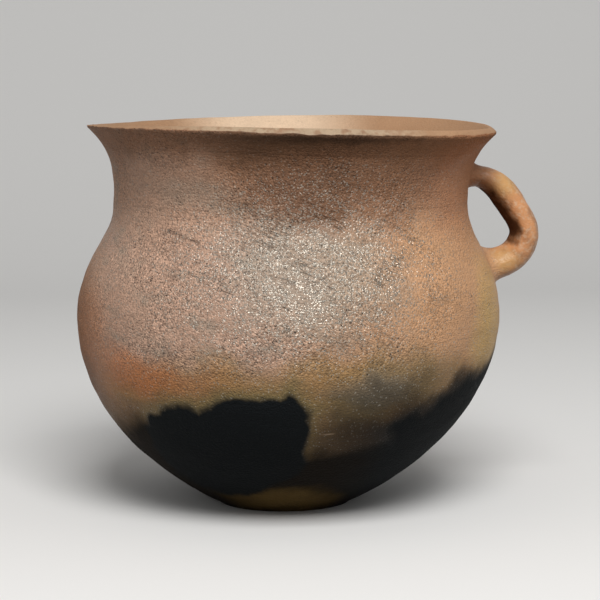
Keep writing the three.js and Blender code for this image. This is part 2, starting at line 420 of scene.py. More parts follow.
def press(piece, mark, group=""):
    """Moves the clay a little by a cloudy mark that is the same in space for every piece."""
    name, size, depth, flatness = mark
    texture = bpy.data.textures.get(name) or bpy.data.textures.new(name, "CLOUDS")
    texture.cloud_type = "COLOR"
    texture.noise_scale = size
    flatten = Matrix.Diagonal((1, 1, flatness, 1))
    piece.data.transform(flatten)
    push = piece.modifiers.new(name, "DISPLACE")
    push.texture = texture
    push.texture_coords = "LOCAL"
    push.direction = "RGB_TO_XYZ"
    push.strength = depth
    push.mid_level = 0.5
    push.vertex_group = group
    bpy.ops.object.modifier_apply(modifier=name)
    piece.data.transform(flatten.inverted())


def hand_pressed(piece):
    select_only(piece)
    for mark in HAND_MARKS:
        press(piece, mark)


def finish_piece(piece, node, slot, clay):
    select_only(piece)
    bpy.ops.object.shade_smooth_by_angle(angle=SMOOTH_ANGLE)
    piece.data.materials.clear()
    piece.data.materials.append(material_of(slot, clay))
    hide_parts(node)
    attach(piece, "root")


# Handle

def smooth_line(points, steps, closed=False):
    """A smooth line through a few given points."""
    points = [Vector(point) for point in points]
    count = len(points)

    def neighbour(i):
        return points[i % count] if closed else points[min(max(i, 0), count - 1)]

    line = []
    for i in range(count if closed else count - 1):
        start, end = neighbour(i), neighbour(i + 1)
        leave = start + (end - neighbour(i - 1)) / 6
        arrive = end - (neighbour(i + 2) - start) / 6
        line += interpolate_bezier(start, leave, arrive, end, steps + 1)[:-1]
    return np.array(line if closed else line + [points[-1]])


def rope_skin(outline, handle):
    """Lines along the rope's skin, one for each side of its section, that run into the wall at both ends."""
    line = smooth_line(ROPE_LINE, SPAN_STEPS)
    section = smooth_line(ROPE_SECTION, SIDE_STEPS, closed=True)
    way = np.gradient(line[:, :2], axis=0)
    way /= np.linalg.norm(way, axis=1, keepdims=True)
    half_thick = line[:, 2] / 2 - outline.wall.hand_room
    half_wide = handle.rope_width / 2 - outline.wall.hand_room
    out, side = section[:, 0, None], section[:, 1, None]
    x = line[:, 0] - way[:, 1] * half_thick * out
    z = line[:, 1] + way[:, 0] * half_thick * out
    y = half_wide * side + 0 * x
    return np.stack([x, y, z], -1)


def crossing(outline, skin_line, depth, start):
    """Place along a line of the rope's skin, counted in its points, where it is some depth in the wall."""
    deep = outline.wall_face(skin_line[:, 1], skin_line[:, 2]) - skin_line[:, 0] - depth
    if not start:
        return len(deep) - 1 - crossing(outline, skin_line[::-1], depth, True)
    last = np.nonzero(deep[: len(deep) // 2] > 0)[0][-1]
    return last + deep[last] / (deep[last] - deep[last + 1])


def along_line(skin_line, places):
    count = np.arange(len(skin_line))
    return np.stack([np.interp(places, count, skin_line[:, i]) for i in range(3)], -1)


def ring_mesh(name, rings):
    """A closed ring of sections: each section is one ring of a torus."""
    rings = np.asarray(rings)
    bpy.ops.object.select_all(action="DESELECT")
    bpy.ops.mesh.primitive_torus_add(
        major_segments=rings.shape[0], minor_segments=rings.shape[1], location=(0, 0, 0),
    )
    piece = new_piece(name)
    move_points(piece, rings)
    return piece


def cut_open(piece, sides):
    """Opens a closed ring between its last section and its first, and fills both ends."""
    last = len(piece.data.vertices) - sides
    for face in piece.data.polygons:
        corners = list(face.vertices)
        face.select = min(corners) < sides and max(corners) >= last
    bpy.context.tool_settings.mesh_select_mode = (False, False, True)
    bpy.ops.object.mode_set(mode="EDIT")
    bpy.ops.mesh.delete(type="ONLY_FACE")
    bpy.context.tool_settings.mesh_select_mode = (True, False, False)
    bpy.ops.mesh.select_all(action="SELECT")
    bpy.ops.mesh.delete_loose()
    bpy.ops.mesh.select_all(action="DESELECT")
    bpy.ops.mesh.select_non_manifold()
    bpy.ops.mesh.fill_holes(sides=0)
    bpy.ops.object.mode_set(mode="OBJECT")


def note_distance(piece, outline):
    """Keeps for each point of the handle how far it stands off the wall, which its finish reads."""
    x, y, z = points_of(piece).T
    off_wall = piece.data.attributes.new(OFF_WALL, "FLOAT", "POINT")
    off_wall.data.foreach_set("value", x - outline.wall_face(y, z))


def lute_rings(outline, handle, start):
    """Sections of the luting clay: a hollow round from the rope to the wall, closed below both."""
    skin = rope_skin(outline, handle)
    step = np.linalg.norm(np.diff(skin.mean(0), axis=0), axis=1).mean()
    climb = handle.lute_climb / step * (1 if start else -1)
    corners, heads = [], []
    for skin_line in skin:
        meet = crossing(outline, skin_line, 0, start)
        corners.append(along_line(skin_line, meet))
        heads.append(along_line(skin_line, meet + climb))
    middle = np.mean(corners, axis=0)
    head_middle = np.mean(heads, axis=0)
    rings = []
    for corner, head in zip(corners, heads):
        way = (corner - middle) * (0, 1, 1)
        way /= np.linalg.norm(way)
        foot = corner + handle.lute_spread * way
        foot[0] = outline.wall_face(foot[1], foot[2])
        into_rope = (head_middle - head) / np.linalg.norm(head_middle - head)
        into_wall = np.array((-1, 0, 0))
        below = [
            foot + LUTE_SINK * into_wall,
            corner + LUTE_SINK * (into_wall + into_rope),
            head + LUTE_SINK * into_rope,
        ]
        rings.append(np.vstack([rounded(head, corner, foot), below]))
    return rings


# Finishes

class Value:
    """A socket of a finish that can be used in sums as a number."""

    def __init__(self, finish, socket):
        self.finish = finish
        self.socket = socket

    def maths(self, operation, *others):
        return self.finish.node("Math", dict(enumerate((self, *others))), operation=operation)

    def __add__(self, other):
        return self.maths("ADD", other)

    def __mul__(self, other):
        return self.maths("MULTIPLY", other)

    def __sub__(self, other):
        return self.maths("SUBTRACT", other)

    def __rsub__(self, other):
        return self.finish.node("Math", {0: other, 1: self}, operation="SUBTRACT")

    __radd__ = __add__
    __rmul__ = __mul__

    def greater(self, other):
        return self.maths("MAXIMUM", other)

    def lesser(self, other):
        return self.maths("MINIMUM", other)


class Finish:
    """A material's nodes, written as expressions on where a point of the clay is."""

    def __init__(self, name):
        self.material = bpy.data.materials.new(name)
        self.material.use_nodes = True
        self.tree = self.material.node_tree
        self.tree.nodes.clear()

    def node(self, kind, sockets=None, out=0, **settings):
        """Adds a node with its settings and inputs, and gives one of its outputs."""
        node = self.tree.nodes.new("ShaderNode" + kind)
        for key, value in settings.items():
            setattr(node, key, value)
        for key, value in (sockets or {}).items():
            if isinstance(value, Value):
                self.tree.links.new(value.socket, node.inputs[key])
            else:
                node.inputs[key].default_value = value
        return Value(self, node.outputs[out]) if node.outputs else None

    def split(self, vector):
        first = self.node("SeparateXYZ", {0: vector})
        return [Value(self, output) for output in first.socket.node.outputs]

    def vector(self, operation, *values):
        out = "Value" if operation in ("LENGTH", "DOT_PRODUCT", "DISTANCE") else "Vector"
        return self.node("VectorMath", dict(enumerate(values)), out, operation=operation)

    def scaled(self, vector, amount):
        return self.node("VectorMath", {0: vector, "Scale": amount}, "Vector", operation="SCALE")

    def ramp(self, value, low, high):
        """Smooth step from 0 at low to 1 at high."""
        limits = {"Value": value, "From Min": low, "From Max": high}
        return self.node("MapRange", limits, interpolation_type="SMOOTHSTEP")

    def fall(self, value, low, high):
        return 1 - self.ramp(value, low, high)

    def mix(self, factor, first, second):
        return self.node("Mix", {"Factor": factor, 6: solid(first), 7: solid(second)}, 2, data_type="RGBA")

    def noise(self, place, size, detail, flat=1.0, out="Fac", slant=0.0):
        """Cloudy noise with grains of some size, flatter than wide by some share and slanted across X."""
        shape = {"Vector": place, "Rotation": (0, slant, 0), "Scale": (size, size, size / flat)}
        grains = self.node("Mapping", shape, vector_type="TEXTURE")
        return self.node("TexNoise", {"Vector": grains, "Scale": 1.0, "Detail": detail}, out)

    def grains(self, place, size, out):
        return self.node("TexVoronoi", {"Vector": place, "Scale": 1 / size}, out)

    def wander(self, place, size, reach, detail):
        """A place moved about by cloudy noise, so that an edge drawn there is uneven."""
        shift = self.vector("SUBTRACT", self.noise(place, size, detail, out="Color"), (0.5, 0.5, 0.5))
        return self.vector("ADD", place, self.scaled(shift, reach))

    def spot(self, place, centre, radii):
        """A soft round patch: 1 in the middle, 0 at its radii."""
        nearer = self.vector("DIVIDE", self.vector("SUBTRACT", place, centre), radii)
        return self.fall(self.vector("LENGTH", nearer), 0.25, 1.0)

    def line(self, place, start, end, width):
        """A soft line between two places: 1 along its middle, 0 at its width."""
        start, end = Vector(start), Vector(end)
        way = end - start
        along = self.vector("DOT_PRODUCT", self.vector("SUBTRACT", place, start), way / way.length_squared)
        along = along.greater(0.0).lesser(1.0)
        nearest = self.vector("ADD", self.scaled(way, along), start)
        return self.fall(self.vector("DISTANCE", place, nearest), 0.0, width)


def solid(value):
    return value if isinstance(value, Value) else (*value, 1.0)


# First fire cloud, across the front: the rounding and the outline in X and Z of each of its parts
FIRE_CLOUD = (
    (0.004, (
        (-0.0568, 0.0390), (-0.0480, 0.0498), (-0.0390, 0.0490),
        (-0.0300, 0.0400), (-0.0404, 0.0142), (-0.0530, 0.0270),
    )),
    (0.004, (
        (-0.0400, 0.0462), (-0.0265, 0.0540), (-0.0050, 0.0542), (0.0034, 0.0490),
        (0.0024, 0.0215), (-0.0067, 0.0150), (-0.0227, 0.0079), (-0.0404, 0.0142),
    )),
    (0.002, (
        (-0.0100, 0.0505), (-0.0028, 0.0570), (0.0040, 0.0496), (0.0024, 0.0400), (-0.0080, 0.0440),
    )),
)
# Second fire cloud, on the right: height of its edge on the axis, climb to the handle, dip behind
SIDE_CLOUD_HEIGHT = 0.0365
SIDE_CLOUD_SLOPE = 0.31
SIDE_CLOUD_DIP = 0.05
# Soft patches of other colours on the wall: colour, middle, half sizes and strength
FLUSHES = (
    ("ash", (0.004, -0.078, 0.100), (0.050, 0.040, 0.036), 0.62),
    ("olive", (0.078, -0.035, 0.070), (0.018, 0.030, 0.040), 1.0),
    ("smoke_and_shade", (0.020, -0.070, 0.136), (0.066, 0.050, 0.031), 1.0),
    ("scorch", (-0.006, -0.078, 0.148), (0.060, 0.040, 0.014), 0.42),
    ("umber", (-0.086, -0.012, 0.074), (0.024, 0.060, 0.070), 1.0),
    ("clay", (-0.050, -0.054, 0.124), (0.036, 0.050, 0.026), 0.75),
    ("ash", (-0.040, -0.055, 0.1285), (0.022, 0.030, 0.006), 0.30),
    ("ash", (-0.0265, -0.0636, 0.123), (0.016, 0.020, 0.006), 0.30),
    ("halo", (0.040, -0.072, 0.058), (0.040, 0.040, 0.016), 0.60),
    ("halo", (0.018, -0.075, 0.048), (0.018, 0.040, 0.012), 0.60),
    ("golden", (-0.035, -0.065, 0.056), (0.060, 0.060, 0.016), 0.45),
    ("scorch", (0.018, -0.068, 0.036), (0.022, 0.030, 0.016), 0.50),
    ("red", (0.066, -0.030, 0.132), (0.036, 0.050, 0.034), 0.30),
    ("red", (-0.082, -0.030, 0.062), (0.032, 0.050, 0.040), 0.30),
    ("smoke_and_shade", (-0.002, -0.067, 0.127), (0.034, 0.030, 0.014), 0.85),
    ("scorch", (0.002, -0.068, 0.127), (0.036, 0.030, 0.015), 0.28),
    # Painted shade: a darker smudge along the left edge of the belly, where it turns away from the lamp
    ("smoke_and_shade", (-0.086, -0.012, 0.074), (0.018, 0.050, 0.060), 0.35),
    ("golden", (0.012, -0.080, 0.062), (0.024, 0.030, 0.012), 0.60),
    ("ash", (0.027, -0.076, 0.055), (0.026, 0.030, 0.009), 0.50),
    ("scorch", (0.027, -0.076, 0.0525), (0.026, 0.030, 0.008), 0.45),
    ("red", (-0.060, -0.054, 0.060), (0.024, 0.034, 0.014), 0.60),
    ("red", (-0.044, -0.066, 0.0575), (0.030, 0.030, 0.009), 0.25),
    ("scorch", (-0.074, -0.012, 0.046), (0.020, 0.030, 0.022), 0.50),
    ("red", (0.030, 0.074, 0.066), (0.030, 0.030, 0.014), 0.45),
    ("halo", (-0.034, 0.070, 0.052), (0.040, 0.034, 0.022), 0.70),
    ("scorch", (-0.036, 0.066, 0.040), (0.034, 0.034, 0.022), 0.80),
    ("ash", (0.006, 0.078, 0.092), (0.050, 0.040, 0.034), 0.45),
)
# Gouges that wiping left in the slip: start, end and half width
GOUGES = (
    ((-0.0470, -0.0510, 0.1122), (-0.0364, -0.0612, 0.1085), 0.0012),
    ((-0.0330, -0.0660, 0.0975), (-0.0210, -0.0750, 0.0943), 0.0006),
    ((-0.0245, -0.0740, 0.0926), (-0.0053, -0.0820, 0.0866), 0.0008),
    ((-0.0100, -0.0780, 0.0989), (-0.0032, -0.0795, 0.0955), 0.0012),
)
# A scratch by the first fire cloud: start, end and half width
SCRATCH = ((0.0067, -0.0720, 0.0391), (0.0149, -0.0720, 0.0389), 0.0005)
# Soot under the lip, a smear and a crescent low on the front, and dull slip: middle and half sizes
LIP_SOOT = ((0.016, -0.077, 0.1476), (0.056, 0.030, 0.0034))
SMEAR = ((-0.053, -0.040, 0.030), (0.029, 0.038, 0.023))
CRESCENT = ((-0.004, -0.040, 0.006), (0.030, 0.040, 0.011))
DULL_SIDE = ((-0.088, 0.0, 0.070), (0.028, 0.080, 0.080))
DULL_NECK = ((0.078, -0.010, 0.134), (0.036, 0.060, 0.034))
# Rubbed spots of the handle, yellower and partly painted highlight where the top of the lower arm and the
# outer upper edge catch the lamp, and browner clay at its upper joint: middle and half sizes
HANDLE_RUBS_AND_HIGHLIGHTS = (
    ((0.0865, -0.006, 0.0955), (0.011, 0.012, 0.008)),
    ((0.0870, -0.003, 0.1262), (0.009, 0.012, 0.008)),
)
UPPER_JOINT = ((0.0775, 0.0, 0.1285), (0.012, 0.020, 0.010))
# Where hands have rubbed the slip, so that more of the mica shows: middle and half sizes
RUBBED = (
    ((0.004, -0.078, 0.101), (0.074, 0.060, 0.044)),
    ((0.010, 0.078, 0.092), (0.066, 0.060, 0.040)),
    ((-0.078, 0.010, 0.090), (0.030, 0.044, 0.036)),
)
# Heights between which one colour of the wall turns into another
NECK_RISE = (0.104, 0.126)
LIP_RISE = (0.126, 0.146)
LOW_RISE = (0.048, 0.072)
SCORCH_RISE = (0.028, 0.050)
# The first cloud's soot turns lighter between these heights: painted light where it faces up to the lamp
SOOT_RISE = (0.026, 0.048)
CUT_EDGE_RISE = (0.140, 0.144)
GRIT_RISE = (0.052, 0.072)
# Places along X or Y between which a colour or a mark begins or fades
OCHRE_X = (-0.020, 0.050)
ASH_X = (-0.020, 0.090)
LIP_SMOKE_X = (-0.040, 0.010)
HAZE_X = (-0.010, 0.022)
HAZE_END_X = (0.040, 0.066)
SIDE_CLOUD_X = (0.014, 0.036)
SIDE_CLOUD_Y = (-0.010, 0.075)
BARE_SIDES_X = (0.012, 0.048)
BARE_RIGHT_X = (0.020, 0.060)
WORN_LIP_X = (0.020, 0.060)
GRIT_X = (0.020, 0.095)
FRONT_Y = (-0.012, 0.012)
# Distances from a fire cloud's edge between which its soot, smoke, haze or halo fades
SOOT_FADE = (-0.0016, 0.0018)
HALO_FADE = (0.0, 0.007)
SIDE_SOOT_FADE = (-0.008, 0.004)
SIDE_SMOKE_FADE = (-0.005, 0.006)
SIDE_HAZE_FADE = (-0.005, 0.019)
# Distances off the wall over which the handle's finish leaves the wall's, and its painted shade begins
HANDLE_BLEND = (0.0, 0.006)
SHADE_START = (0.0, 0.003)
# Which way the clay faces: in at the inside, out and up at the lip's cut edge, and into the handle's loop,
# where its face gets painted shade
TURNED_IN = (-0.004, 0.012)
CUT_EDGE_OUT = (-0.02, 0.02)
CUT_EDGE_UP = (0.30, 0.60)
INTO_LOOP = (-0.97, 0.05, -0.18)
# Noise that makes the edges of marks uneven: size, reach and detail
DRIFT = (0.022, 0.020, 3.0)
FRAY = (0.012, 0.009, 3.0)
FINE_FRAY = (0.006, 0.004, 3.0)
TEAR = (0.0025, 0.0016, 2.0)
# Marks in the clay, by their size, and the slant of the wiping
WIPE_SLANT = math.radians(22)
FLAKE = 0.00044
GRAIN = 0.0008
GRIT = 0.0008
STREAK = 0.0075
BLOTCH = 0.013
CRACK = 0.009
PIT = 0.0045
ASH_BLOTCH = 0.010
COARSE_PATCH = 0.020
FLAKE_PATCH = 0.008
LIP_SPOT = 0.0035
HANDLE_MOTTLE = 0.0060
HANDLE_RUB = 0.0017
# Size of the unevenness at the edge of the handle's painted shade
SHADE_SPOT = 0.004
# How the clay throws light back: height of its relief, tilt of its flakes and grit, and its sheen
RELIEF = 0.0006
TILT = 0.42
WALL_ROUGHNESS = 0.46
HANDLE_ROUGHNESS = 0.34
SMOKE_ROUGHNESS = 0.75
SLIP_SPECULAR = 0.45
SMOKE_SPECULAR = 0.06


def outside_cloud(x, z):
    """How far a point lies outside the first fire cloud in X and Z, less than 0 within it."""
    nearest = None
    for rounding, outline in FIRE_CLOUD:
        far = None
        for (x1, z1), (x2, z2) in zip(outline, outline[1:] + outline[:1]):
            edge = Vector((x2 - x1, z2 - z1)).normalized()
            off = (z - z1) * edge.x - (x - x1) * edge.y
            far = off if far is None else far.maths("SMOOTH_MAX", off, rounding)
        nearest = far if nearest is None else nearest.lesser(far)
    return nearest


def slip_colour(finish, clay, place, drift):
    """Colour of the wiped slip, and how much of its mica is covered on the neck, by the lip and low down."""
    x = finish.split(place)[0]
    drift_x, _, drift_z = finish.split(drift)
    tone = finish.mix(finish.ramp(drift_x, *OCHRE_X), clay.clay, clay.ochre)
    neck = finish.ramp(drift_z, *NECK_RISE)
    tone = finish.mix(neck * 0.9, tone, clay.umber)
    ash = finish.ramp(finish.noise(place, ASH_BLOTCH, 4.0, flat=2.0, slant=WIPE_SLANT), 0.46, 0.76)
    tone = finish.mix(ash * 0.5 * finish.fall(x, *ASH_X), tone, clay.ash)
    under_lip = finish.ramp(drift_z, *LIP_RISE) * (0.75 + finish.ramp(drift_x, *LIP_SMOKE_X) * 0.25)
    tone = finish.mix(under_lip * 0.9, tone, clay.smoke_and_shade)
    low = finish.fall(drift_z, *LOW_RISE)
    tone = finish.mix(low * 0.8, tone, clay.golden)
    for flush, centre, radii, strength in FLUSHES:
        tone = finish.mix(finish.spot(drift, centre, radii) * strength, tone, getattr(clay, flush))
    return tone, (under_lip * 0.95).greater(neck * 0.35).greater(low * 0.35)


def fire_marked(finish, clay, place, drift, front, tone):
    """A colour under the scorching, the fire clouds and small marks, and how burnt each point is."""
    z = finish.split(place)[2]
    drift_x, drift_y, drift_z = finish.split(drift)
    fray_x, _, fray_z = finish.split(finish.wander(place, *FRAY))
    dip = finish.ramp(drift_y, *SIDE_CLOUD_Y) * SIDE_CLOUD_DIP
    side_edge = drift_z - drift_x * SIDE_CLOUD_SLOPE - SIDE_CLOUD_HEIGHT + dip
    haze = finish.fall(side_edge, *SIDE_HAZE_FADE) * finish.fall(drift_x, *HAZE_END_X)
    haze = haze.greater(finish.fall(side_edge, *SIDE_SMOKE_FADE)) * finish.ramp(drift_x, *HAZE_X)
    scorched = finish.fall(drift_z, *SCORCH_RISE).greater(haze * 0.8).greater(finish.spot(drift, *SMEAR))
    tone = finish.mix(scorched, tone, clay.scorch)
    tone = finish.mix(finish.spot(drift, *CRESCENT), tone, clay.foot)
    far = outside_cloud(fray_x, fray_z)
    tone = finish.mix(finish.fall(far, *HALO_FADE) * front * (1 - scorched) * 0.85, tone, clay.halo)
    first_cloud = finish.fall(far, *SOOT_FADE) * front
    side_cloud = finish.fall(side_edge, *SIDE_SOOT_FADE) * finish.ramp(drift_x, *SIDE_CLOUD_X)
    soot = first_cloud.greater(side_cloud)
    # Painted light: the first cloud's soot up to 30% lighter towards its top, where it faces more up to the
    # lamp
    black = finish.scaled(clay.soot, 1 + first_cloud * finish.ramp(z, *SOOT_RISE) * 0.3)
    tone = finish.mix(soot, tone, black)
    lip_soot = finish.spot(finish.wander(place, *FINE_FRAY), *LIP_SOOT)
    tone = finish.mix(lip_soot * 0.55, tone, clay.scorch)
    tone = finish.mix(finish.line(place, *SCRATCH) * 0.35, tone, clay.inside)
    return tone, soot.greater(scorched)


def bare_clay(finish, clay, place, normal, front):
    """Colour of the bare clay of the inside and the lip, and where they are."""
    x, y, z = finish.split(place)
    nx, ny, nz = finish.split(normal)
    facing_out = x * nx + y * ny
    off_middle = x.maths("ABSOLUTE")
    lip = finish.ramp(nz, *CUT_EDGE_UP) * finish.ramp(z, *CUT_EDGE_RISE)
    # Inside, redder and darker to the left and right: partly the clay's colour, partly painted shade on the
    # sides turned from the lamp
    bare = finish.mix(finish.ramp(off_middle, *BARE_SIDES_X), clay.inside, clay.inside_side)
    bare = finish.scaled(bare, 1.0 + finish.ramp(x, *BARE_RIGHT_X) * 0.12)
    worn = finish.ramp(finish.noise(place, LIP_SPOT, 4.0), 0.45, 0.65)
    edge = finish.mix(worn * 0.65, clay.lip, clay.smoke_and_shade)
    cut_edge = lip * front * finish.fall(off_middle, *WORN_LIP_X) * finish.ramp(facing_out, *CUT_EDGE_OUT)
    bare = finish.mix(cut_edge, bare, edge)
    return bare, finish.fall(facing_out, *TURNED_IN).greater(lip)


def wall_colour(finish, clay, place, normal):
    """Colour of the wall, how much of its mica the smoke has covered, and where it is the inside."""
    front = finish.fall(finish.split(place)[1], *FRONT_Y)
    drift = finish.wander(place, *DRIFT)
    tone, covered = slip_colour(finish, clay, place, drift)
    tone, burnt = fire_marked(finish, clay, place, drift, front, tone)
    bare, inside = bare_clay(finish, clay, place, normal, front)
    tone = finish.mix(inside, tone, bare)
    dull = finish.spot(place, *DULL_SIDE).greater(finish.spot(place, *DULL_NECK)) * 0.8
    smoked = burnt.greater(covered).greater(dull)
    return tone, smoked * (1 - inside) + inside * 0.7, inside


def hollows(finish, place, rubbed, bright, wiped):
    """How deep a point is in a crack of the rubbed slip, a pit or a gouge."""
    contour = finish.noise(place, CRACK, 2.0, flat=9.0, slant=WIPE_SLANT) - 0.5
    crack = finish.fall(contour.maths("ABSOLUTE"), 0.004, 0.016) * rubbed
    crack = crack * finish.ramp(finish.noise(place, 2 * CRACK, 1.0), 0.52, 0.60)
    crack = crack * finish.ramp(wiped, 0.3, 0.9)
    chance = finish.split(finish.grains(place, PIT, "Color"))[0]
    pit = finish.fall(finish.grains(place, PIT, "Distance"), 0.06, 0.13) * finish.ramp(chance, 0.80, 0.82)
    hollow = crack.greater(pit * bright)
    torn = finish.wander(place, *TEAR)
    for gouge in GOUGES:
        hollow = hollow.greater(finish.line(torn, *gouge))
    return hollow


def grained_clay(finish, clay, place, normal, tone, smoked, wiped, roughness):
    """Wiping streaks, grain, hollows and mica flakes over a colour, joined into one shader."""
    bright = 1 - smoked
    coarse = finish.ramp(finish.noise(place, COARSE_PATCH, 2.0), 0.35, 0.65)
    streak = finish.noise(place, STREAK, 3.0, flat=9.0) * wiped
    grain = finish.noise(place, GRAIN, 3.0, flat=1.6, slant=WIPE_SLANT)
    blotch = finish.noise(place, BLOTCH, 3.0, flat=1.6)
    speck, tip_a, tip_b = finish.split(finish.grains(place, GRIT, "Color"))
    x, _, z = finish.split(place)
    gritty = (0.5 + coarse * 0.5) * finish.fall(x, *GRIT_X)
    gritty = gritty * (0.4 + bright * 0.6) * wiped
    gritty = gritty * (0.5 + finish.ramp(z, *GRIT_RISE) * 0.5)
    # Grain: random specks, lighter at its crests and darker in its pores; the darker pores are partly painted
    # shade in the low spots of the relief
    crest = finish.ramp(grain, 0.57, 0.70)
    pore = finish.fall(grain, 0.30, 0.43)
    contrast = (speck - 0.5) * 0.75 + crest * 0.40 - pore * 1.1
    tone = finish.scaled(tone, 0.82 + streak * 0.22 + blotch * 0.16 + gritty * contrast)

    rubbed = finish.spot(place, *RUBBED[0])
    for zone in RUBBED[1:]:
        rubbed = rubbed.greater(finish.spot(place, *zone) * 0.7)
    hollow = hollows(finish, place, rubbed, bright, wiped)
    # Darker in cracks, pits and gouges: partly their own colour, partly painted shade in these hollows
    tone = finish.scaled(tone, 1 - hollow * 0.45)

    chance, lean_a, lean_b = finish.split(finish.grains(place, FLAKE, "Color"))
    patch = finish.ramp(finish.noise(place, FLAKE_PATCH, 3.0, flat=1.8, slant=WIPE_SLANT), 0.35, 0.65)
    share = 0.06 + rubbed * (0.16 + patch * 0.28)
    flake = finish.ramp(chance, 1 - share, 1.04 - share) * bright * wiped
    tone = finish.mix(flake * 0.7, tone, clay.mica)
    lean = finish.node("CombineXYZ", {0: lean_a - 0.5, 1: lean_b - 0.5, 2: 0.0})
    tilted = finish.vector("ADD", normal, finish.scaled(lean, flake * TILT))
    tip = finish.node("CombineXYZ", {0: tip_a - 0.5, 1: 0.0, 2: tip_b - 0.5})
    tilted = finish.vector("ADD", tilted, finish.scaled(tip, gritty * TILT))
    bead = 1 - finish.grains(place, GRIT, "Distance")
    rough = (grain * 0.6 + bead * 0.6) * (0.7 + coarse * 0.3) * (0.15 + 0.85 * wiped)
    bumped = finish.node("Bump", {
        "Strength": 1.0, "Distance": RELIEF, "Height": rough + streak * 0.3 - hollow * 0.7,
        "Normal": finish.vector("NORMALIZE", tilted),
    }, "Normal")
    slip = finish.node("BsdfPrincipled", {
        "Base Color": tone,
        "Roughness": roughness - flake * 0.10 + coarse * 0.06,
        "Metallic": flake * 0.8,
        "Specular IOR Level": SLIP_SPECULAR,
        "Normal": bumped,
    })
    smoke_and_shade = finish.node("BsdfPrincipled", {
        "Base Color": tone,
        "Roughness": SMOKE_ROUGHNESS,
        "Specular IOR Level": SMOKE_SPECULAR,
        "Normal": bumped,
    })
    shader = finish.node("MixShader", {0: smoked, 1: slip, 2: smoke_and_shade})
    finish.node("OutputMaterial", {"Surface": shader})


def micaceous_clay(clay):
    finish = Finish("micaceous_clay_finish")
    place = finish.node("TexCoord", out="Object")
    normal = finish.node("NewGeometry", out="Normal")
    tone, smoked, inside = wall_colour(finish, clay, place, normal)
    grained_clay(finish, clay, place, normal, tone, smoked, 1 - inside * 0.75, WALL_ROUGHNESS)
    return finish.material


def handle_clay(clay):
    finish = Finish("handle_clay_finish")
    place = finish.node("TexCoord", out="Object")
    normal = finish.node("NewGeometry", out="Normal")
    facing_up = finish.split(normal)[2]
    wall, smoked, _ = wall_colour(finish, clay, place, normal)
    off_wall = finish.node("Attribute", out="Fac", attribute_name=OFF_WALL)
    mottle = finish.ramp(finish.noise(place, HANDLE_MOTTLE, 4.0), 0.45, 0.68)
    rope = finish.mix(mottle * 0.6, clay.handle, clay.smoke_and_shade)
    rubbed = finish.ramp(finish.noise(place, HANDLE_RUB, 3.0), 0.46, 0.66)
    rope = finish.mix(rubbed * 0.45, rope, clay.inside)
    # Yellower rubbed spots: partly painted highlight on the top of the lower arm and on the outer upper edge
    for rub_and_highlight in HANDLE_RUBS_AND_HIGHLIGHTS:
        rope = finish.mix(finish.spot(place, *rub_and_highlight) * 0.6, rope, clay.olive)
    rope = finish.mix(finish.spot(place, *UPPER_JOINT) * 0.65, rope, clay.smoke_and_shade)
    # Painted shade: darker brown where the rope faces down
    rope = finish.mix(finish.fall(facing_up, -0.95, -0.45) * 0.7, rope, clay.smoke_and_shade)
    near_wall = finish.fall(off_wall, *HANDLE_BLEND)
    tone = finish.mix(near_wall, rope, wall)
    # Painted shade on the rope's inner face, darker where it faces into the loop, away from the lamp; it also
    # turns that face dull
    uneven = finish.noise(place, SHADE_SPOT, 2.0) - 0.5
    inward = finish.vector("DOT_PRODUCT", normal, INTO_LOOP) + uneven * 0.35
    shade = finish.ramp(inward, 0.44, 0.80) * finish.ramp(off_wall, *SHADE_START)
    tone = finish.mix(shade, tone, clay.handle_shade)
    smoked = (smoked * (0.4 + near_wall * 0.6)).greater(shade)
    roughness = HANDLE_ROUGHNESS + near_wall * (WALL_ROUGHNESS - HANDLE_ROUGHNESS)
    grained_clay(finish, clay, place, normal, tone, smoked, 0.2 + near_wall * 0.8, roughness)
    return finish.material


def material_of(slot, clay):
    makers = {"micaceous_clay": micaceous_clay, "handle_clay": handle_clay}
    return bpy.data.materials.get(slot + "_finish") or makers[slot](clay)


# Operators

class OLLA_OT_base_pat(bpy.types.Operator):
    """Press the base pat, with the flat that the olla rests on"""
    bl_idname = "olla.base_pat"
    bl_label = "Base pat"

    def execute(self, context):
        wall = context.scene.olla_wall
        outline = Outline(wall)
        node, top = COILS[0]
        piece = turned(node + "_clay", base_section(outline, outline.distance_at(top)))
        lean_and_wave(piece, wall)
        flat = points_of(piece)[:, 2] < MERGE
        hand_pressed(piece)
        places = points_of(piece)
        places[:, 2] = np.where(flat, 0, np.maximum(places[:, 2], 0))
        move_points(piece, places)
        finish_piece(piece, node, "micaceous_clay", context.scene.olla_clay)
        return {"FINISHED"}


class OLLA_OT_wall_coils(bpy.types.Operator):
    """Lay the coils of the wall on the base pat, each lapped inside the one below"""
    bl_idname = "olla.wall_coils"
    bl_label = "Wall coils"

    def execute(self, context):
        wall = context.scene.olla_wall
        outline = Outline(wall)
        for (_, low), (node, high) in zip(COILS, COILS[1:]):
            section = coil_section(outline, outline.distance_at(low), outline.distance_at(high))
            piece = turned(node + "_clay", section)
            lean_and_wave(piece, wall)
            hand_pressed(piece)
            finish_piece(piece, node, "micaceous_clay", context.scene.olla_clay)
        return {"FINISHED"}


